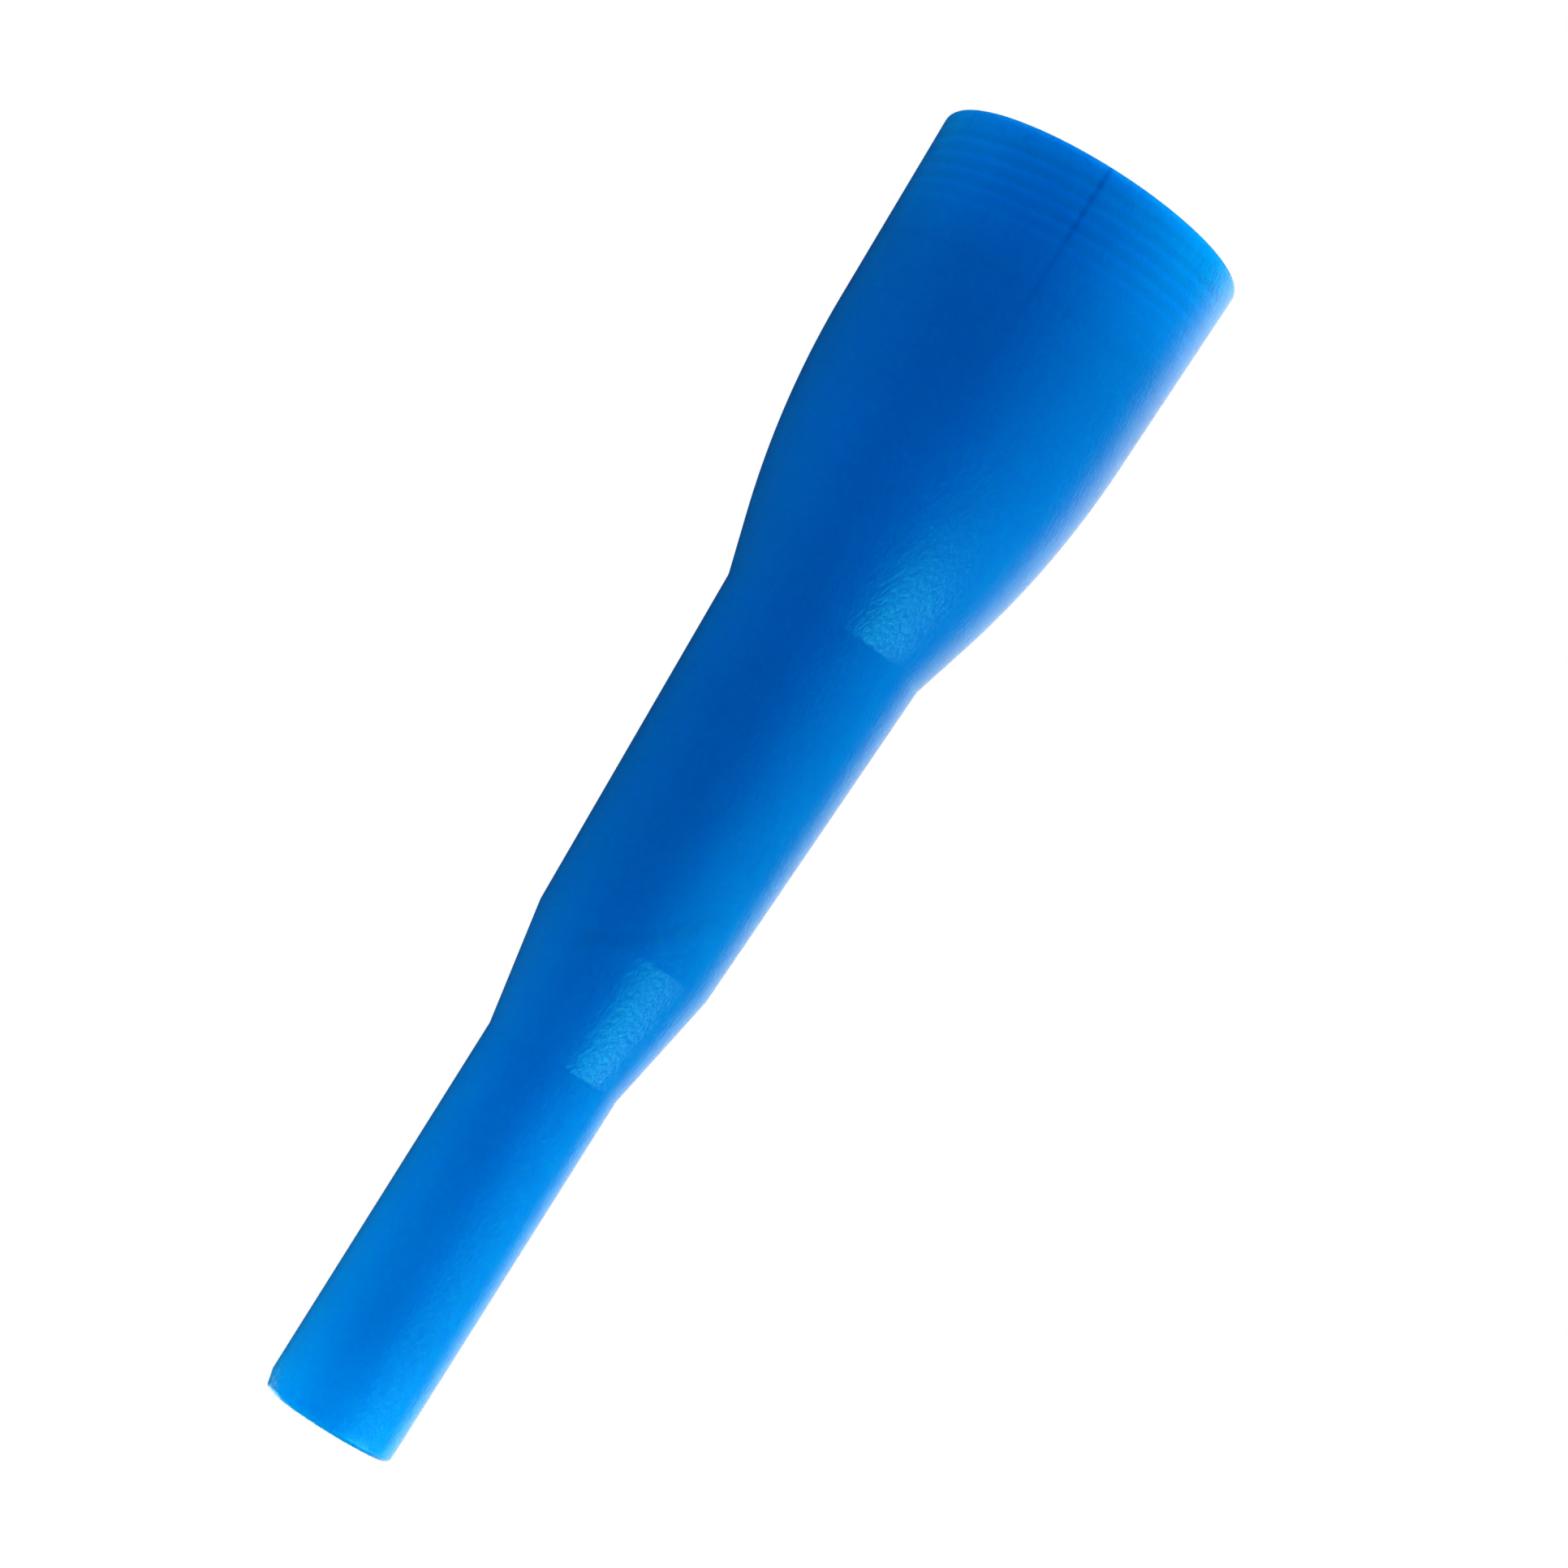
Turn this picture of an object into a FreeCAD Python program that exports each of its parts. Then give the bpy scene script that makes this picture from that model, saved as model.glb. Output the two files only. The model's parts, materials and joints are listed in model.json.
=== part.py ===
import FreeCAD, Part
import math
import os
from FreeCAD import Vector

# Saliva ejector tip: a moulded sleeve that screws onto a suction valve.
# The origin is the middle of the wide mouth's rim plane. The sleeve stands on
# that rim, with its axis along +Z and its narrow nozzle on top.
# Lengths are in millimetres.

# Outside of the body, from the rim upwards: radius and height of each corner
TOTAL_HEIGHT = 90.0
RIM_RADIUS = 10.7
BELL_KNEE_RADIUS = 10.12
BELL_KNEE_HEIGHT = 21.2
SHOULDER_RADIUS = 6.96
SHOULDER_HEIGHT = 32.3
BARREL_END_RADIUS = 6.06
BARREL_END_HEIGHT = 55.75
NOZZLE_FOOT_RADIUS = 4.62
NOZZLE_FOOT_HEIGHT = 63.9
NOZZLE_TIP_RADIUS = 4.555

# Rounding of those corners
RIM_ROUND = 0.5
BELL_ROUND = 60.0
SHOULDER_ROUND = 1.2
BARREL_END_ROUND = 1.2
NOZZLE_FOOT_ROUND = 1.2
TIP_ROUND = 0.4

# Socket in the nozzle for a 6.5 mm disposable ejector tube
SOCKET_RADIUS = 3.3
SOCKET_DEPTH = 28.0
SOCKET_CHAMFER = 0.3
THROAT_RADIUS = 2.8
THROAT_LENGTH = 2.0
THROAT_TAPER_LENGTH = 3.5

# Passage through the barrel and the bell
BARREL_BORE_TOP = 4.1
BARREL_BORE_FOOT = 4.4
BARREL_BORE_FOOT_HEIGHT = 31.3
BELL_BORE_KNEE_RADIUS = 7.2
BELL_BORE_KNEE_HEIGHT = 21.3
BELL_BORE_ROUND = 57.0
BELL_BORE_FOOT = 7.3

# Threaded mouth, with a seat and a ledge above the thread for the strainer
LEDGE_HEIGHT = 9.0
SEAT_RADIUS = 8.0
SEAT_DEPTH = 2.0
SEAT_FOOT_HEIGHT = LEDGE_HEIGHT - SEAT_DEPTH
THREAD_CREST_RADIUS = 8.2
THREAD_ROOT_RADIUS = 8.6
THREAD_STARTS = 3
THREAD_PITCH = 1.0
THREAD_LEAD = THREAD_STARTS * THREAD_PITCH
THREAD_FOOT_HEIGHT = 0.6
THREAD_TOP_HEIGHT = 6.4
THREAD_FIRST_ANGLE = 48.0
GROOVE_WIDTH_AT_CREST = 0.4
GROOVE_WIDTH_AT_ROOT = 0.12
LEAD_IN_RADIUS = 8.8
LEAD_IN_HEIGHT = 1.1
LEAD_IN_RAMP = 0.3
MOUTH_RADIUS = 9.1
MOUTH_CHAMFER_HEIGHT = 0.5

# Rubber-rimmed strainer, which drops out of the mouth for cleaning
SEAL_OUTER_RADIUS = 7.85
SEAL_INNER_RADIUS = 6.8
SEAL_THICKNESS = 1.6
SEAL_ROUND = 0.25
STRAINER_RADIUS = 7.3
STRAINER_THICKNESS = 0.6
DOME_RADIUS = 6.0
DOME_RISE = 2.2
HOLE_RADIUS = 0.45
HOLE_RING_SPACING = 1.5
HOLE_RINGS = 3
HOLES_IN_FIRST_RING = 6
SEAL_FOOT_HEIGHT = LEDGE_HEIGHT - SEAL_THICKNESS
STRAINER_FOOT_HEIGHT = LEDGE_HEIGHT - (SEAL_THICKNESS + STRAINER_THICKNESS) / 2

# How far a cutting tool reaches past what it cuts
OVERLAP = 0.3

UP = Vector(0, 0, 1)
ORIGIN = Vector(0, 0, 0)


def rounded_corner(before, corner, after, radius):
    """Return the start, middle and end points of the arc that rounds a corner."""
    back = (before - corner).normalize()
    ahead = (after - corner).normalize()
    half_angle = back.getAngle(ahead) / 2
    tangent_length = radius / math.tan(half_angle)
    centre = corner + (back + ahead).normalize() * (radius / math.sin(half_angle))
    middle = centre + (corner - centre).normalize() * radius
    return corner + back * tangent_length, middle, corner + ahead * tangent_length


def turned(corners):
    """Revolve a closed outline, given as (radius, height, rounding) corners, about Z."""
    points = [Vector(radius, 0, height) for radius, height, _ in corners]
    edges = []
    stations = []
    for index, (_, _, rounding) in enumerate(corners):
        corner = points[index]
        if rounding == 0:
            stations.append((corner, corner, None))
            continue
        before = points[index - 1]
        after = points[(index + 1) % len(points)]
        start, middle, end = rounded_corner(before, corner, after, rounding)
        stations.append((start, end, Part.Arc(start, middle, end).toShape()))
    for index, (start, end, arc) in enumerate(stations):
        if arc is not None:
            edges.append(arc)
        next_start = stations[(index + 1) % len(stations)][0]
        edges.append(Part.LineSegment(end, next_start).toShape())
    face = Part.Face(Part.Wire(edges))
    return face.revolve(ORIGIN, UP, 360)


def body_blank():
    """The body before its thread is cut: every wall is a surface of revolution."""
    outside = [
        (RIM_RADIUS, 0, RIM_ROUND),
        (BELL_KNEE_RADIUS, BELL_KNEE_HEIGHT, BELL_ROUND),
        (SHOULDER_RADIUS, SHOULDER_HEIGHT, SHOULDER_ROUND),
        (BARREL_END_RADIUS, BARREL_END_HEIGHT, BARREL_END_ROUND),
        (NOZZLE_FOOT_RADIUS, NOZZLE_FOOT_HEIGHT, NOZZLE_FOOT_ROUND),
        (NOZZLE_TIP_RADIUS, TOTAL_HEIGHT, TIP_ROUND),
    ]
    socket_floor = TOTAL_HEIGHT - SOCKET_DEPTH
    throat_foot = socket_floor - THROAT_LENGTH
    nozzle_inside = [
        (SOCKET_RADIUS + SOCKET_CHAMFER, TOTAL_HEIGHT, 0),
        (SOCKET_RADIUS, TOTAL_HEIGHT - SOCKET_CHAMFER, 0),
        (SOCKET_RADIUS, socket_floor, 0),
        (THROAT_RADIUS, socket_floor, 0),
        (THROAT_RADIUS, throat_foot, 0),
    ]
    passage = [
        (BARREL_BORE_TOP, throat_foot - THROAT_TAPER_LENGTH, 0),
        (BARREL_BORE_FOOT, BARREL_BORE_FOOT_HEIGHT, 0),
        (BELL_BORE_KNEE_RADIUS, BELL_BORE_KNEE_HEIGHT, BELL_BORE_ROUND),
        (BELL_BORE_FOOT, LEDGE_HEIGHT, 0),
    ]
    mouth = [
        (SEAT_RADIUS, LEDGE_HEIGHT, 0),
        (SEAT_RADIUS, SEAT_FOOT_HEIGHT, 0),
        (THREAD_CREST_RADIUS, SEAT_FOOT_HEIGHT, 0),
        (THREAD_CREST_RADIUS, LEAD_IN_HEIGHT + LEAD_IN_RAMP, 0),
        (LEAD_IN_RADIUS, LEAD_IN_HEIGHT, 0),
        (LEAD_IN_RADIUS, MOUTH_CHAMFER_HEIGHT, 0),
        (MOUTH_RADIUS, 0, 0),
    ]
    return turned(outside + nozzle_inside + passage + mouth)


def thread_groove(start_angle):
    """One start of the internal thread: a V groove with a flat root, swept along a helix."""
    height = THREAD_TOP_HEIGHT - THREAD_FOOT_HEIGHT
    helix = Part.makeHelix(THREAD_LEAD, height, THREAD_CREST_RADIUS)
    flank_slope = (GROOVE_WIDTH_AT_CREST - GROOVE_WIDTH_AT_ROOT) / 2
    flank_slope /= THREAD_ROOT_RADIUS - THREAD_CREST_RADIUS
    half_mouth = GROOVE_WIDTH_AT_CREST / 2 + flank_slope * OVERLAP
    half_root = GROOVE_WIDTH_AT_ROOT / 2
    section = Part.makePolygon([
        Vector(THREAD_CREST_RADIUS - OVERLAP, 0, -half_mouth),
        Vector(THREAD_ROOT_RADIUS, 0, -half_root),
        Vector(THREAD_ROOT_RADIUS, 0, half_root),
        Vector(THREAD_CREST_RADIUS - OVERLAP, 0, half_mouth),
        Vector(THREAD_CREST_RADIUS - OVERLAP, 0, -half_mouth),
    ])
    groove = Part.Wire(helix.Edges).makePipeShell([section], True, True)
    groove.translate(Vector(0, 0, THREAD_FOOT_HEIGHT))
    groove.rotate(ORIGIN, UP, start_angle)
    return groove


def tip_body():
    body = body_blank()
    for start in range(THREAD_STARTS):
        body = body.cut(thread_groove(THREAD_FIRST_ANGLE + start * 360 / THREAD_STARTS))
    return body


def seal_ring():
    """Soft ring that grips the strainer's rim and seals against the ledge."""
    groove_top = STRAINER_FOOT_HEIGHT + STRAINER_THICKNESS
    return turned([
        (SEAL_OUTER_RADIUS, SEAL_FOOT_HEIGHT, SEAL_ROUND),
        (SEAL_OUTER_RADIUS, LEDGE_HEIGHT, SEAL_ROUND),
        (SEAL_INNER_RADIUS, LEDGE_HEIGHT, SEAL_ROUND),
        (SEAL_INNER_RADIUS, groove_top, 0),
        (STRAINER_RADIUS, groove_top, 0),
        (STRAINER_RADIUS, STRAINER_FOOT_HEIGHT, 0),
        (SEAL_INNER_RADIUS, STRAINER_FOOT_HEIGHT, 0),
        (SEAL_INNER_RADIUS, SEAL_FOOT_HEIGHT, SEAL_ROUND),
    ])


def dome(base_radius, rise, base_height):
    """A spherical cap, standing on a base circle."""
    sphere_radius = (base_radius ** 2 + rise ** 2) / (2 * rise)
    centre = Vector(0, 0, base_height + rise - sphere_radius)
    sphere = Part.makeSphere(sphere_radius, centre)
    keep = Part.makeCylinder(base_radius + OVERLAP, rise + OVERLAP, Vector(0, 0, base_height))
    return sphere.common(keep)


def strainer_screen():
    """Flat rim and a domed middle, pierced by rings of drain holes."""
    foot = STRAINER_FOOT_HEIGHT
    plate = Part.makeCylinder(STRAINER_RADIUS, STRAINER_THICKNESS, Vector(0, 0, foot))
    top_dome = dome(DOME_RADIUS, DOME_RISE, foot + STRAINER_THICKNESS)
    hollow_radius = DOME_RADIUS - STRAINER_THICKNESS
    hollow = dome(hollow_radius, DOME_RISE, foot)
    screen = plate.fuse(top_dome).cut(hollow).removeSplitter()
    hole_length = STRAINER_THICKNESS + DOME_RISE + 2 * OVERLAP
    for ring in range(HOLE_RINGS + 1):
        holes = max(1, HOLES_IN_FIRST_RING * ring)
        for index in range(holes):
            angle = 2 * math.pi * index / holes
            reach = ring * HOLE_RING_SPACING
            place = Vector(reach * math.cos(angle), reach * math.sin(angle), foot - OVERLAP)
            screen = screen.cut(Part.makeCylinder(HOLE_RADIUS, hole_length, place))
    return screen


NODES = {
    "tip_body": tip_body,
    "seal_ring": seal_ring,
    "strainer_screen": strainer_screen,
}

os.makedirs("parts", exist_ok=True)
for name, make in NODES.items():
    shape = make()
    box = shape.BoundBox
    print(name, "valid", shape.isValid(), "solids", len(shape.Solids), "volume", round(shape.Volume, 1),
          "box", [round(side, 3) for side in (box.XMin, box.YMin, box.ZMin, box.XMax, box.YMax, box.ZMax)])
    shape.exportStep("parts/" + name + ".step")
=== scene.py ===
import json
import math

import bpy
from mathutils import Matrix, Vector


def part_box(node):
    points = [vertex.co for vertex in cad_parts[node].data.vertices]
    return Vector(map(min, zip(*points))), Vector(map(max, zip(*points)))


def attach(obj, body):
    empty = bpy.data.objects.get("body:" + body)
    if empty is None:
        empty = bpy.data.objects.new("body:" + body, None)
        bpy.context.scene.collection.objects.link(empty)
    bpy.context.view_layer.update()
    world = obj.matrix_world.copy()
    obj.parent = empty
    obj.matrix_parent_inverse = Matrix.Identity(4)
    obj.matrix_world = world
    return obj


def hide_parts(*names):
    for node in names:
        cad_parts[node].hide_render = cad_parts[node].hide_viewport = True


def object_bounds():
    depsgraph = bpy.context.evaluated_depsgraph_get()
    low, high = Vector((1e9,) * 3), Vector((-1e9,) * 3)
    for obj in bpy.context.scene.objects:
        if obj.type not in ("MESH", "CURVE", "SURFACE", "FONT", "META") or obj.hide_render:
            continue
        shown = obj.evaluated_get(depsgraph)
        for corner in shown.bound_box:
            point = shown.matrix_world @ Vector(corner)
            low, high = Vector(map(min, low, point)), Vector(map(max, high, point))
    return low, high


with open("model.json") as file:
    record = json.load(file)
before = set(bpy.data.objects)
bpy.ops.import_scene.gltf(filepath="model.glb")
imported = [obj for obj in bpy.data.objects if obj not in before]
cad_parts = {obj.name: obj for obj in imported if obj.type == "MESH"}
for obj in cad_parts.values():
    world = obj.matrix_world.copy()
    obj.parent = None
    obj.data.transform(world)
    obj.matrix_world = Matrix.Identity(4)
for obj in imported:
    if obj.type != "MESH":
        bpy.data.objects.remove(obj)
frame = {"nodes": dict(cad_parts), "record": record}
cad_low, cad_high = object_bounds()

# Every length is in metres, in the row's frame: the tip stands on its wide rim, with its axis along +Z.
MM = 0.001

# Camera and the way the tip lies in the picture
CAMERA_DISTANCE = 264 * MM
CAMERA_HEIGHT = 66.8 * MM
CAMERA_TILT = math.radians(5.45)
CAMERA_PAN = math.radians(0.64)
AXIS_SLANT = math.radians(57.83)
CAMERA_LENS = 97.6
CAMERA_SENSOR = 36

# Distance of the large lights from the middle of the tip, and half the floor's side
STUDIO_RADIUS = 0.45
FLOOR_HALF = 1.5

# Sizes that the frame gives
mounts = {mount["name"]: mount for mount in frame["record"]["mounts"]}
socket_mount = mounts["nozzle_socket"]
thread_mount = mounts["valve_thread"]
HEIGHT = cad_high.z - cad_low.z
SOCKET_RADIUS = socket_mount["dims"]["r_mm"] * MM
SOCKET_CHAMFER = HEIGHT - socket_mount["pos_m"][2]
SOCKET_FLOOR = socket_mount["pos_m"][2] - socket_mount["dims"]["length_mm"] * MM
THREAD_CREST_RADIUS = thread_mount["dims"]["r_mm"] * MM
THREAD_WALL_FOOT = thread_mount["pos_m"][2]
SEAT_FOOT = THREAD_WALL_FOOT + thread_mount["dims"]["length_mm"] * MM
SEAL_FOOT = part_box("seal_ring")[0].z
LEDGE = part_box("seal_ring")[1].z

# Outside corners of the body, from the mouth up to the nozzle: radius, height, rounding
NOZZLE_RADIUS = 4.555 * MM
OUTSIDE = [
    (10.7 * MM, 0, 0.5 * MM),
    (10.12 * MM, 21.2 * MM, 60 * MM),
    (6.96 * MM, 32.3 * MM, 1.2 * MM),
    (6.06 * MM, 55.75 * MM, 1.2 * MM),
    (4.62 * MM, 63.9 * MM, 1.2 * MM),
    (NOZZLE_RADIUS, HEIGHT, 0.4 * MM),
]

# Inside corners, from the nozzle down to the mouth: socket, throat, barrel, bell, seat, thread, lead-in
SOCKET_MOUTH_RADIUS = SOCKET_RADIUS + SOCKET_CHAMFER
THROAT_RADIUS = 2.8 * MM
SEAT_RADIUS = 8.0 * MM
LEAD_IN_RADIUS = 8.8 * MM
LEAD_IN_TOP = THREAD_WALL_FOOT - 0.3 * MM
MOUTH_CHAMFER = 0.5 * MM
INSIDE = [
    (SOCKET_MOUTH_RADIUS, HEIGHT, 0.1 * MM),
    (SOCKET_RADIUS, HEIGHT - SOCKET_CHAMFER, 0.1 * MM),
    (SOCKET_RADIUS, SOCKET_FLOOR, 0),
    (THROAT_RADIUS, SOCKET_FLOOR, 0.15 * MM),
    (THROAT_RADIUS, SOCKET_FLOOR - 2 * MM, 0.5 * MM),
    (4.1 * MM, SOCKET_FLOOR - 5.5 * MM, 2 * MM),
    (4.4 * MM, 31.3 * MM, 3 * MM),
    (7.2 * MM, 21.3 * MM, 57 * MM),
    (7.3 * MM, LEDGE, 0.1 * MM),
    (SEAT_RADIUS, LEDGE, 0),
    (SEAT_RADIUS, SEAT_FOOT, 0.05 * MM),
    (THREAD_CREST_RADIUS, SEAT_FOOT, 0),
    (THREAD_CREST_RADIUS, THREAD_WALL_FOOT, 0),
    (LEAD_IN_RADIUS, LEAD_IN_TOP, 0),
    (LEAD_IN_RADIUS, MOUTH_CHAMFER, 0),
    (LEAD_IN_RADIUS + 0.3 * MM, 0, 0.1 * MM),
]

# Thread. Pairs give where a smooth step begins and ends
THREAD_STARTS = 3
THREAD_PITCH = 1.0 * MM
THREAD_DEPTH = 0.4 * MM
THREAD_FLANK = (0.05 * MM, 0.22 * MM)
THREAD_GROOVE_FOOT = 0.6 * MM
THREAD_RUN_OUT = (5.8 * MM, 6.6 * MM)
THREAD_FIRST_ANGLE = math.radians(48)

# Painted light and shade for the thread turns that show through the wall, a little above their grooves:
# lighter where the thin wall over a groove lets light through, painted shade over the crests. A band's own
# pair and its shift are shares of the pitch; the other pairs are heights where the bands come in and die
# out
BAND_RISE = 0.35 * MM
PAINTED_LIGHT_BAND = (0.06, 0.24)
PAINTED_LIGHT_FOOT = (1.5 * MM, 2.2 * MM)
PAINTED_LIGHT_TOP = (6.1 * MM, 7.0 * MM)
PAINTED_SHADE_BAND = (0.10, 0.36)
PAINTED_SHADE_SHIFT = 0.42
PAINTED_SHADE_FOOT = (0.7 * MM, 1.2 * MM)
PAINTED_SHADE_TOP = (4.5 * MM, 6.4 * MM)
FIRST_SHADE_TURN = (1.7 * MM, 2.4 * MM)
FIRST_SHADE_TURN_GAIN = 1.7

# Weld line down the front of the mouth's outside: a hair-fine groove, and a darker line in the colour
WELD_X = 0.2 * MM
WELD_ANGLE = math.radians(271.1)
WELD_DEPTH = 0.008 * MM
WELD_FLANK = (0.05 * MM, 0.20 * MM)
WELD_GROOVE_FADE = (3 * MM, 10 * MM)
WELD_LINE_REACH = 0.32 * MM
WELD_COLOUR_FADE = (2.5 * MM, 16 * MM)
WELD_COLOUR = (0.0, 0.09, 0.50, 1)
WELD_SHARE = 0.36

# Flow mark across the front of the barrel: a curve height = middle + slope * x + bend * x * x, in
# millimetres, with the curve's half-width, how far it wanders, and where its two ends fade
FLOW_MIDDLE = 55.2
FLOW_SLOPE = 0.75
FLOW_BEND = -0.06
FLOW_WIDTH = (0.1, 0.9)
FLOW_WANDER = 1.2
FLOW_START = (-4.8, -3.0)
FLOW_END = (2.0, 3.4)

# Worn corner of the nozzle's end
NICK_ANGLE = 0
NICK_ARC = (math.radians(18), math.radians(48))
NICK_DEPTH = 0.2 * MM
NICK_FOOT = HEIGHT - 1.2 * MM
NICK_TOP = NICK_FOOT + 0.4 * MM

# Longest step between the meshes' rows, in the thread, at the nozzle's end and elsewhere
FINE_ROW = 0.06 * MM
MIDDLE_ROW = 0.15 * MM
COARSE_ROW = 0.8 * MM
ARC_STEP = math.radians(12)
FEWEST_ARC_STEPS = 4
SHARP_EDGE = math.radians(35)

# Points farther out than this lie on the mouth's outside wall
OUTSIDE_WALL = 9.5 * MM
CLEAR_OF_SEAT = SEAT_RADIUS + 0.01 * MM

# Angles of the meshes' columns: evenly spaced, with more of them at the weld line
EVEN_COLUMNS = 192
WELD_COLUMN_OFFSETS = (-0.75, -0.45, -0.2, 0, 0.2, 0.45, 1.1)
COLUMNS = sorted(
    [2 * math.pi * step / EVEN_COLUMNS for step in range(EVEN_COLUMNS)]
    + [WELD_ANGLE + math.radians(offset) for offset in WELD_COLUMN_OFFSETS]
)


# ---------------------------------------------------------------- camera, light and floor

def make_camera():
    forward = Vector((0, math.cos(CAMERA_TILT), -math.sin(CAMERA_TILT)))
    along = Vector((0, -math.sin(CAMERA_TILT), -math.cos(CAMERA_TILT)))
    side = Vector((-1, 0, 0))
    look = forward * math.cos(CAMERA_PAN) + side * math.sin(CAMERA_PAN)
    across = side * math.cos(CAMERA_PAN) - forward * math.sin(CAMERA_PAN)
    right = along * math.cos(AXIS_SLANT) + across * math.sin(AXIS_SLANT)
    up = along * math.sin(AXIS_SLANT) - across * math.cos(AXIS_SLANT)
    data = bpy.data.cameras.new("camera")
    data.sensor_width = CAMERA_SENSOR
    data.lens = CAMERA_LENS
    data.clip_start = 0.01
    data.clip_end = 20
    camera = bpy.data.objects.new("camera", data)
    turn = Matrix((right, up, -look)).transposed().to_4x4()
    camera.matrix_world = Matrix.Translation((0, -CAMERA_DISTANCE, CAMERA_HEIGHT)) @ turn
    bpy.context.scene.collection.objects.link(camera)
    bpy.context.scene.camera = camera


def make_light(name, seen, azimuth, elevation, distance, size, watts, colour=(1, 1, 1)):
    """An area light round the tip's middle, seen by matt or by gloss reflection only.

    Azimuth 0 is the camera's side and 90 is the -X side.
    """
    turn = math.radians(azimuth)
    lift = math.radians(elevation)
    out = Vector((-math.sin(turn) * math.cos(lift), -math.cos(turn) * math.cos(lift), math.sin(lift)))
    data = bpy.data.lights.new(name, "AREA")
    data.shape = "RECTANGLE"
    data.size, data.size_y = size
    data.energy = watts
    data.color = colour
    light = bpy.data.objects.new(name, data)
    light.location = Vector((0, 0, HEIGHT / 2)) + out * distance
    light.rotation_mode = "QUATERNION"
    light.rotation_quaternion = (-out).to_track_quat("-Z", "Y")
    light.visible_camera = False
    light.visible_glossy = seen == "gloss"
    light.visible_diffuse = seen == "matt"
    bpy.context.scene.collection.objects.link(light)


def make_lights():
    far = STUDIO_RADIUS
    soft = (0.30, 0.30)
    make_light("side_key", "matt", 84, 3, far, soft, 3.2, (1, 1, 0.92))
    make_light("left_fill", "matt", -58, 8, far, soft, 0.68, (0.96, 0.96, 1))
    make_light("front_fill", "matt", -17, 8, far, soft, 0.76, (0.17, 0.17, 1))
    make_light("back_fill", "matt", 178, 8, far, soft, 2.2)

    # Small lights, which brighten the nozzle's end and the mouth's rim, and the mouth from below
    make_light("tip_fill", "matt", -50, 62, 0.09, (0.03, 0.03), 0.021, (0.7, 1, 0.7))
    make_light("mouth_fill", "matt", -75, -62, 0.09, (0.03, 0.03), 0.0072, (0.7, 1, 0.76))
    make_light("under_fill", "matt", 0, -89, 0.30, (0.05, 0.05), 0.45)

    # Reflections: on the two cones, down the right edge, and from behind
    make_light("highlight_box", "gloss", 63, 30, far, (0.44, 0.19), 1.7)
    make_light("rim_panel", "gloss", 149, 3, far, (0.41, 0.60), 0.86)
    make_light("back_box", "gloss", 205, 35, far, (0.46, 0.24), 1.2)


def make_world():
    """White to the camera, and nearly black as a light."""
    world = bpy.data.worlds.new("studio")
    world.use_nodes = True
    nodes = world.node_tree.nodes
    links = world.node_tree.links
    nodes.clear()
    dim = nodes.new("ShaderNodeBackground")
    dim.inputs["Color"].default_value = (1, 1, 1, 1)
    dim.inputs["Strength"].default_value = 0.01
    white = nodes.new("ShaderNodeBackground")
    white.inputs["Color"].default_value = (1, 1, 1, 1)
    white.inputs["Strength"].default_value = 1
    path = nodes.new("ShaderNodeLightPath")
    mix = nodes.new("ShaderNodeMixShader")
    out = nodes.new("ShaderNodeOutputWorld")
    links.new(path.outputs["Is Camera Ray"], mix.inputs["Fac"])
    links.new(dim.outputs[0], mix.inputs[1])
    links.new(white.outputs[0], mix.inputs[2])
    links.new(mix.outputs[0], out.inputs["Surface"])
    bpy.context.scene.world = world
    bpy.context.scene.view_settings.view_transform = "Standard"


def make_floor():
    """White to the camera, grey and matt to other rays, and clear from below."""
    mesh = bpy.data.meshes.new("floor")
    corners = [
        (-FLOOR_HALF, -FLOOR_HALF, 0),
        (FLOOR_HALF, -FLOOR_HALF, 0),
        (FLOOR_HALF, FLOOR_HALF, 0),
        (-FLOOR_HALF, FLOOR_HALF, 0),
    ]
    mesh.from_pydata(corners, [], [(0, 1, 2, 3)])
    floor = bpy.data.objects.new("floor", mesh)
    bpy.context.scene.collection.objects.link(floor)
    material = bpy.data.materials.new("floor")
    material.use_nodes = True
    nodes = material.node_tree.nodes
    links = material.node_tree.links
    nodes.clear()
    matt = nodes.new("ShaderNodeBsdfDiffuse")
    matt.inputs["Color"].default_value = (0.6, 0.6, 0.6, 1)
    white = nodes.new("ShaderNodeEmission")
    lit = nodes.new("ShaderNodeMixShader")
    clear = nodes.new("ShaderNodeBsdfTransparent")
    path = nodes.new("ShaderNodeLightPath")
    side = nodes.new("ShaderNodeNewGeometry")
    one_sided = nodes.new("ShaderNodeMixShader")
    out = nodes.new("ShaderNodeOutputMaterial")
    links.new(path.outputs["Is Camera Ray"], lit.inputs["Fac"])
    links.new(matt.outputs[0], lit.inputs[1])
    links.new(white.outputs[0], lit.inputs[2])
    links.new(side.outputs["Backfacing"], one_sided.inputs["Fac"])
    links.new(lit.outputs[0], one_sided.inputs[1])
    links.new(clear.outputs[0], one_sided.inputs[2])
    links.new(one_sided.outputs[0], out.inputs["Surface"])
    mesh.materials.append(material)
    floor.visible_glossy = False
    floor.visible_shadow = False


# ---------------------------------------------------------------- meshes

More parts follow.
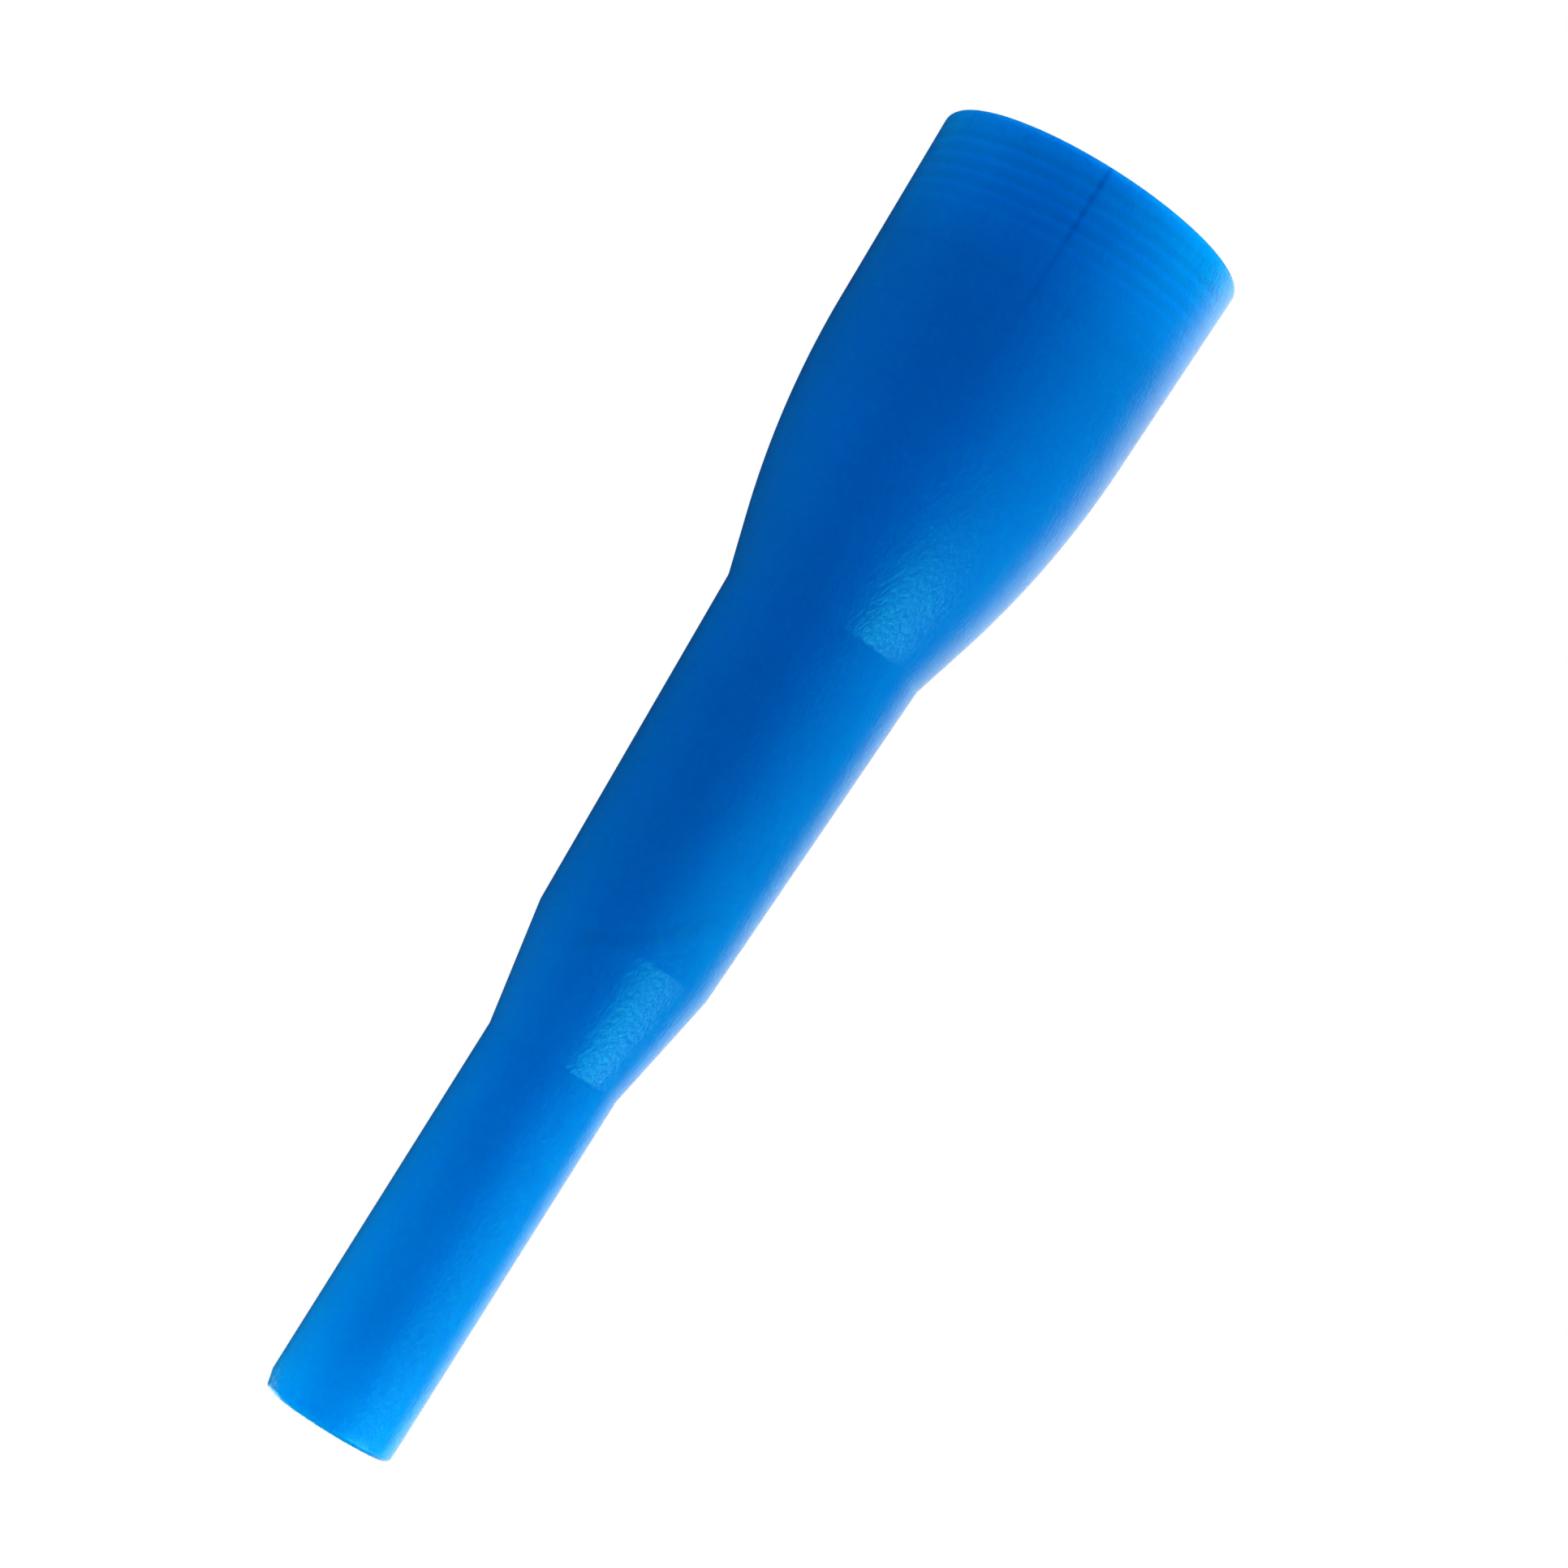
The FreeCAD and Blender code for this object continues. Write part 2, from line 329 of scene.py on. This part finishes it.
def rounded_outline(corners):
    """The closed outline through (radius, height, rounding) corners, with each rounding as an arc."""
    outline = []
    for index, (radius, height, rounding) in enumerate(corners):
        corner = Vector((radius, height))
        if rounding == 0:
            outline.append(corner)
            continue
        back = (Vector(corners[index - 1][:2]) - corner).normalized()
        ahead = (Vector(corners[(index + 1) % len(corners)][:2]) - corner).normalized()
        half_angle = back.angle(ahead) / 2
        centre = corner + (back + ahead).normalized() * (rounding / math.sin(half_angle))
        start = corner + back * (rounding / math.tan(half_angle)) - centre
        end = corner + ahead * (rounding / math.tan(half_angle)) - centre
        turn = start.angle_signed(end)
        by_angle = math.ceil(abs(turn) / ARC_STEP)
        by_length = math.ceil(abs(turn) * rounding / COARSE_ROW)
        steps = max(FEWEST_ARC_STEPS, by_angle, by_length)
        for step in range(steps + 1):
            angle = -turn * step / steps
            arm = Vector((
                start.x * math.cos(angle) - start.y * math.sin(angle),
                start.x * math.sin(angle) + start.y * math.cos(angle),
            ))
            outline.append(centre + arm)
    return outline


def with_rows(outline, row_length):
    """The same outline, with points added so that no step is longer than row_length allows at its place."""
    rows = []
    for index, point in enumerate(outline):
        following = outline[(index + 1) % len(outline)]
        limit = row_length((point + following) / 2)
        count = max(1, math.ceil((following - point).length / limit))
        rows += [point.lerp(following, step / count) for step in range(count)]
    return rows


def turned_mesh(name, rows, shape=None):
    """A closed mesh of revolution about Z. shape(radius, height, angle) may change each point's radius."""
    verts = []
    for point in rows:
        for angle in COLUMNS:
            radius = shape(point.x, point.y, angle) if shape else point.x
            verts.append((radius * math.cos(angle), radius * math.sin(angle), point.y))
    faces = []
    around = len(COLUMNS)
    for row in range(len(rows)):
        following = (row + 1) % len(rows)
        for column in range(around):
            beside = (column + 1) % around
            faces.append((
                row * around + column,
                row * around + beside,
                following * around + beside,
                following * around + column,
            ))
    mesh = bpy.data.meshes.new(name)
    mesh.from_pydata(verts, [], faces)
    mesh.validate()
    mesh.shade_smooth()
    mesh.set_sharp_from_angle(angle=SHARP_EDGE)
    piece = bpy.data.objects.new(name, mesh)
    bpy.context.scene.collection.objects.link(piece)
    return piece


def smooth_step(low, high, value):
    share = min(1, max(0, (value - low) / (high - low)))
    return share * share * (3 - 2 * share)


def angle_between(first, second):
    return abs((first - second + math.pi) % (2 * math.pi) - math.pi)


def thread_depth(height, angle):
    """How far the thread's grooves cut into the wall at this height and angle."""
    turns = (angle - THREAD_FIRST_ANGLE) / (2 * math.pi)
    climb = (height - THREAD_GROOVE_FOOT) / THREAD_PITCH - THREAD_STARTS * turns
    from_groove = abs(climb - round(climb)) * THREAD_PITCH
    depth = 1 - smooth_step(*THREAD_FLANK, from_groove)
    fade = 1 - smooth_step(*THREAD_RUN_OUT, height)
    return THREAD_DEPTH * depth * fade


def weld_depth(radius, height, angle):
    """A hair-fine groove that fades out above the mouth."""
    away = radius * angle_between(angle, WELD_ANGLE)
    fade = 1 - smooth_step(*WELD_GROOVE_FADE, height)
    return WELD_DEPTH * (1 - smooth_step(*WELD_FLANK, away)) * fade


def nick_depth(radius, height, angle):
    """How much is missing from the corner of the nozzle's end."""
    around = 1 - smooth_step(*NICK_ARC, angle_between(angle, NICK_ANGLE))
    along = smooth_step(NICK_FOOT, NICK_TOP, height)
    return NICK_DEPTH * around * along * smooth_step(SOCKET_MOUTH_RADIUS, NOZZLE_RADIUS, radius)


def body_shape(radius, height, angle):
    if radius > OUTSIDE_WALL and height < WELD_GROOVE_FADE[1]:
        return radius - weld_depth(radius, height, angle)
    if radius > SOCKET_MOUTH_RADIUS and height > NICK_FOOT:
        return radius - nick_depth(radius, height, angle)
    in_thread = LEAD_IN_TOP < height < SEAT_FOOT and CLEAR_OF_SEAT < radius < LEAD_IN_RADIUS
    if in_thread:
        return max(radius, THREAD_CREST_RADIUS + thread_depth(height, angle))
    return radius


def body_row_length(point):
    if point.x < LEAD_IN_RADIUS and LEAD_IN_TOP < point.y < SEAT_FOOT:
        return FINE_ROW
    if point.y > NICK_FOOT:
        return MIDDLE_ROW
    return COARSE_ROW


def make_body():
    rows = with_rows(rounded_outline(OUTSIDE + INSIDE), body_row_length)
    body = turned_mesh("tip_moulding", rows, body_shape)
    body.data.materials.append(blue_plastic())
    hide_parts("tip_body")
    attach(body, "tip")


def make_seal():
    """The soft ring round the strainer: two sealing lips outside, and a groove for the strainer inside."""
    middle = (SEAL_FOOT + LEDGE) / 2
    lip, waist, inner, groove = 7.85 * MM, 7.66 * MM, 6.8 * MM, 7.3 * MM
    lip_edge, waist_edge, groove_edge = 0.32 * MM, 0.18 * MM, 0.3 * MM
    outline = rounded_outline([
        (lip, SEAL_FOOT, 0.2 * MM),
        (lip, middle - lip_edge, 0.1 * MM),
        (waist, middle - waist_edge, 0.08 * MM),
        (waist, middle + waist_edge, 0.08 * MM),
        (lip, middle + lip_edge, 0.1 * MM),
        (lip, LEDGE, 0.2 * MM),
        (inner, LEDGE, 0.25 * MM),
        (inner, middle + groove_edge, 0.05 * MM),
        (groove, middle + groove_edge, 0),
        (groove, middle - groove_edge, 0),
        (inner, middle - groove_edge, 0.05 * MM),
        (inner, SEAL_FOOT, 0.25 * MM),
    ])
    seal = turned_mesh("strainer_seal", outline)
    seal.data.materials.append(seal_silicone())
    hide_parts("seal_ring")
    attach(seal, "strainer")


# ---------------------------------------------------------------- materials

class Shader:
    """A material's node tree, with short calls for the nodes it is built from."""

    def __init__(self, name):
        self.material = bpy.data.materials.new(name)
        self.material.use_nodes = True
        self.nodes = self.material.node_tree.nodes
        self.links = self.material.node_tree.links
        self.surface = self.nodes["Principled BSDF"]
        self.place = self.nodes.new("ShaderNodeTexCoord").outputs["Object"]

    def feed(self, socket, value):
        if isinstance(value, bpy.types.NodeSocket):
            self.links.new(value, socket)
        else:
            socket.default_value = value

    def math(self, operation, first, second=0.0, third=0.0):
        node = self.nodes.new("ShaderNodeMath")
        node.operation = operation
        for socket, value in zip(node.inputs, (first, second, third)):
            self.feed(socket, value)
        return node.outputs[0]

    def product(self, *values):
        result = values[0]
        for value in values[1:]:
            result = self.math("MULTIPLY", result, value)
        return result

    def ramp(self, value, low, high, start=0.0, end=1.0):
        """A smooth step from start to end as value goes from low to high."""
        node = self.nodes.new("ShaderNodeMapRange")
        node.interpolation_type = "SMOOTHSTEP"
        for socket, setting in zip(node.inputs, (value, low, high, start, end)):
            self.feed(socket, setting)
        return node.outputs[0]

    def near(self, value, centre, low, high):
        """1 where value is within low of centre, falling smoothly to 0 at high."""
        away = self.math("ABSOLUTE", self.math("SUBTRACT", value, centre))
        return self.ramp(away, low, high, 1.0, 0.0)

    def noise(self, scale, detail=2.0, roughness=0.5, place=None):
        node = self.nodes.new("ShaderNodeTexNoise")
        self.links.new(place or self.place, node.inputs["Vector"])
        node.inputs["Scale"].default_value = scale
        node.inputs["Detail"].default_value = detail
        node.inputs["Roughness"].default_value = roughness
        return node.outputs["Fac"]

    def blend(self, share, first, second):
        node = self.nodes.new("ShaderNodeMix")
        node.data_type = "RGBA"
        self.feed(node.inputs[0], share)
        self.feed(node.inputs[6], first)
        self.feed(node.inputs[7], second)
        return node.outputs[2]

    def ladder(self, value, steps):
        """A colour that runs smoothly through (value, colour) steps."""
        node = self.nodes.new("ShaderNodeValToRGB")
        node.color_ramp.interpolation = "B_SPLINE"
        stops = node.color_ramp.elements
        while len(stops) < len(steps):
            stops.new(0.5)
        for stop, (position, colour) in zip(stops, steps):
            stop.position = position
            stop.color = colour + (1,)
        self.links.new(value, node.inputs[0])
        return node.outputs[0]

    def vector_math(self, operation, vector, name, value):
        node = self.nodes.new("ShaderNodeVectorMath")
        node.operation = operation
        self.links.new(vector, node.inputs[0])
        self.feed(node.inputs[name], value)
        return node.outputs[0]

    def bump(self, height, distance):
        node = self.nodes.new("ShaderNodeBump")
        node.inputs["Distance"].default_value = distance
        node.inputs["Strength"].default_value = 1.0
        self.links.new(height, node.inputs["Height"])
        self.links.new(node.outputs[0], self.surface.inputs["Normal"])

    def soft(self, index, radius, scale):
        """Refraction index and subsurface scattering, set on the surface's own sockets."""
        self.surface.inputs["IOR"].default_value = index
        self.surface.inputs["Subsurface Weight"].default_value = 1.0
        self.surface.inputs["Subsurface Radius"].default_value = radius
        self.surface.inputs["Subsurface Scale"].default_value = scale


def thread_light_and_shade(shader, x, y, z):
    """Painted light where the thread's grooves let light through, and painted shade on the crests below
    them, darkest on the first.
    """
    angle = shader.math("ARCTAN2", y, x)
    foot = THREAD_GROOVE_FOOT + BAND_RISE
    climb = shader.math("DIVIDE", shader.math("SUBTRACT", z, foot), THREAD_PITCH)
    from_first = shader.math("SUBTRACT", angle, THREAD_FIRST_ANGLE)
    turns = shader.math("MULTIPLY", from_first, THREAD_STARTS / (2 * math.pi))
    turn = shader.math("SUBTRACT", climb, turns)
    painted_light_band = shader.ramp(shader.math("PINGPONG", turn, 0.5), *PAINTED_LIGHT_BAND, 1.0, 0.0)
    shifted = shader.math("ADD", turn, PAINTED_SHADE_SHIFT)
    painted_shade_band = shader.ramp(shader.math("PINGPONG", shifted, 0.5), *PAINTED_SHADE_BAND, 1.0, 0.0)
    light_foot = shader.ramp(z, *PAINTED_LIGHT_FOOT)
    light_top = shader.ramp(z, *PAINTED_LIGHT_TOP, 1.0, 0.0)
    dark_foot = shader.ramp(z, *PAINTED_SHADE_FOOT)
    dark_top = shader.ramp(z, *PAINTED_SHADE_TOP, 1.0, 0.0)
    first_shade_turn = shader.ramp(z, *FIRST_SHADE_TURN, FIRST_SHADE_TURN_GAIN, 1.0)
    painted_light_turns = shader.product(painted_light_band, light_foot, light_top)
    painted_shade_turns = shader.product(painted_shade_band, dark_foot, dark_top, first_shade_turn)
    return painted_light_turns, painted_shade_turns


def weld_line(shader, x, z, front, painted_shade_turns):
    """Strongest at the mouth, and a little stronger where it crosses the thread's painted shade turns."""
    line = shader.near(x, WELD_X, 0.0, WELD_LINE_REACH)
    fade = shader.ramp(z, *WELD_COLOUR_FADE, 1.0, 0.0)
    crossings = shader.math("MULTIPLY_ADD", painted_shade_turns, 0.25, 0.85)
    return shader.product(line, front, fade, crossings)


def flow_mark(shader, x, z, front, wander):
    """A faint oblique curve across the front of the barrel, near its narrow end."""
    across = shader.math("DIVIDE", x, MM)
    slope = shader.math("MULTIPLY_ADD", across, FLOW_BEND, FLOW_SLOPE)
    curve = shader.math("ADD", FLOW_MIDDLE, shader.math("MULTIPLY", across, slope))
    above = shader.math("SUBTRACT", shader.math("DIVIDE", z, MM), curve)
    swing = shader.math("MULTIPLY_ADD", wander, FLOW_WANDER, -FLOW_WANDER / 2)
    above = shader.math("ADD", above, swing)
    mark = shader.ramp(shader.math("ABSOLUTE", above), *FLOW_WIDTH, 1.0, 0.0)
    start = shader.ramp(across, *FLOW_START)
    end = shader.ramp(across, *FLOW_END, 1.0, 0.0)
    return shader.product(mark, start, end, front)


def blue_plastic():
    """Translucent blue moulded plastic, with painted light and shade for the thread seen through the wall,
    painted light at the thin ends, and the weld line showing through the wall.
    """
    shader = Shader("blue_plastic")
    split = shader.nodes.new("ShaderNodeSeparateXYZ")
    shader.links.new(shader.place, split.inputs[0])
    x, y, z = split.outputs
    front = shader.ramp(y, -1 * MM, 1 * MM, 1.0, 0.0)

    # Cloudy colour, and the satin grain, which runs a little along the axis
    cloud = shader.noise(160)
    slow = shader.noise(500, 3)
    stretched = shader.vector_math("MULTIPLY", shader.place, 1, (1, 1, 0.55))
    grain = shader.noise(4200, 3, 0.6, stretched)

    painted_light_turns, painted_shade_turns = thread_light_and_shade(shader, x, y, z)
    weld = weld_line(shader, x, z, front, painted_shade_turns)
    # Painted shade: a faint darker line all round, where the inner ledge lies behind the wall
    ledge_shade = shader.near(z, LEDGE, 0.1 * MM, 0.5 * MM)
    flow = flow_mark(shader, x, z, front, slow)

    # Painted light over the thread's grooves and painted shade over its crests and round the inner ledge;
    # the weld line, flow mark and random tone are the plastic's own
    shade = shader.math("MULTIPLY_ADD", painted_light_turns, 0.06, 1.0)
    for amount, strength in ((painted_shade_turns, -0.04), (weld, -0.05), (ledge_shade, -0.03), (flow, -0.06)):
        shade = shader.math("MULTIPLY_ADD", amount, strength, shade)
    for swing, strength in ((cloud, 0.10), (slow, 0.05), (grain, 0.12)):
        shade = shader.math("ADD", shade, shader.math("MULTIPLY_ADD", swing, strength, -strength / 2))

    # Painted light: the blue is paler at the mouth and towards the nozzle's end, standing for light that
    # comes through the thin nozzle wall and the open ends
    blue_and_painted_glow = shader.ladder(shader.math("DIVIDE", z, HEIGHT), [
        (0.000, (0.0, 0.385, 0.86)),
        (0.020, (0.0, 0.285, 0.72)),
        (0.045, (0.0, 0.250, 0.71)),
        (0.100, (0.0, 0.187, 0.56)),
        (0.160, (0.0, 0.188, 0.57)),
        (0.215, (0.0, 0.195, 0.59)),
        (0.280, (0.0, 0.212, 0.61)),
        (0.400, (0.0, 0.186, 0.56)),
        (0.500, (0.0, 0.195, 0.56)),
        (0.600, (0.0, 0.210, 0.59)),
        (0.730, (0.0, 0.243, 0.69)),
        (0.830, (0.0, 0.270, 0.715)),
        (0.890, (0.0, 0.280, 0.735)),
        (0.945, (0.0, 0.295, 0.765)),
        (1.000, (0.0, 0.390, 0.890)),
    ])
    blue_and_painted_glow = shader.blend(shader.math("MULTIPLY", weld, WELD_SHARE), blue_and_painted_glow, WELD_COLOUR)
    shader.feed(shader.surface.inputs["Base Color"], shader.vector_math("SCALE", blue_and_painted_glow, "Scale", shade))
    shader.feed(shader.surface.inputs["Roughness"], shader.math("MULTIPLY_ADD", grain, 0.12, 0.18))
    shader.surface.inputs["Specular Tint"].default_value = (0.02, 0.95, 1.0, 1)
    shader.soft(1.49, (0.3, 0.6, 1.0), 0.8 * MM)
    shader.bump(grain, 0.045 * MM)
    return shader.material


def seal_silicone():
    """Milky silicone rubber, soft-looking, with a fine moulded grain."""
    shader = Shader("seal_silicone")
    cloud = shader.noise(700, 3)
    grain = shader.noise(7000)
    base = shader.blend(cloud, (0.36, 0.40, 0.42, 1), (0.46, 0.50, 0.52, 1))
    shader.feed(shader.surface.inputs["Base Color"], base)
    shader.feed(shader.surface.inputs["Roughness"], shader.math("MULTIPLY_ADD", grain, 0.15, 0.42))
    shader.soft(1.41, (1.0, 0.9, 0.8), 0.4 * MM)
    shader.bump(grain, 0.01 * MM)
    return shader.material


def strainer_white():
    """Natural white moulded plastic with faint swirls and a fine grain."""
    shader = Shader("strainer_white")
    swirl = shader.noise(350, 4, 0.6)
    grain = shader.noise(5500)
    base = shader.blend(swirl, (0.56, 0.58, 0.57, 1), (0.70, 0.72, 0.71, 1))
    shader.feed(shader.surface.inputs["Base Color"], base)
    shader.feed(shader.surface.inputs["Roughness"], shader.math("MULTIPLY_ADD", grain, 0.18, 0.30))
    shader.soft(1.49, (1.0, 0.9, 0.8), 0.3 * MM)
    shader.bump(grain, 0.012 * MM)
    return shader.material


def dress(node, material):
    """Shows a CAD node in this material, and leaves its mesh as it is."""
    for slot in frame["nodes"][node].material_slots:
        slot.link = "OBJECT"
        slot.material = material


# ---------------------------------------------------------------- the scene

make_camera()
make_world()
make_floor()
make_lights()
make_body()
make_seal()
dress("strainer_screen", strainer_white())
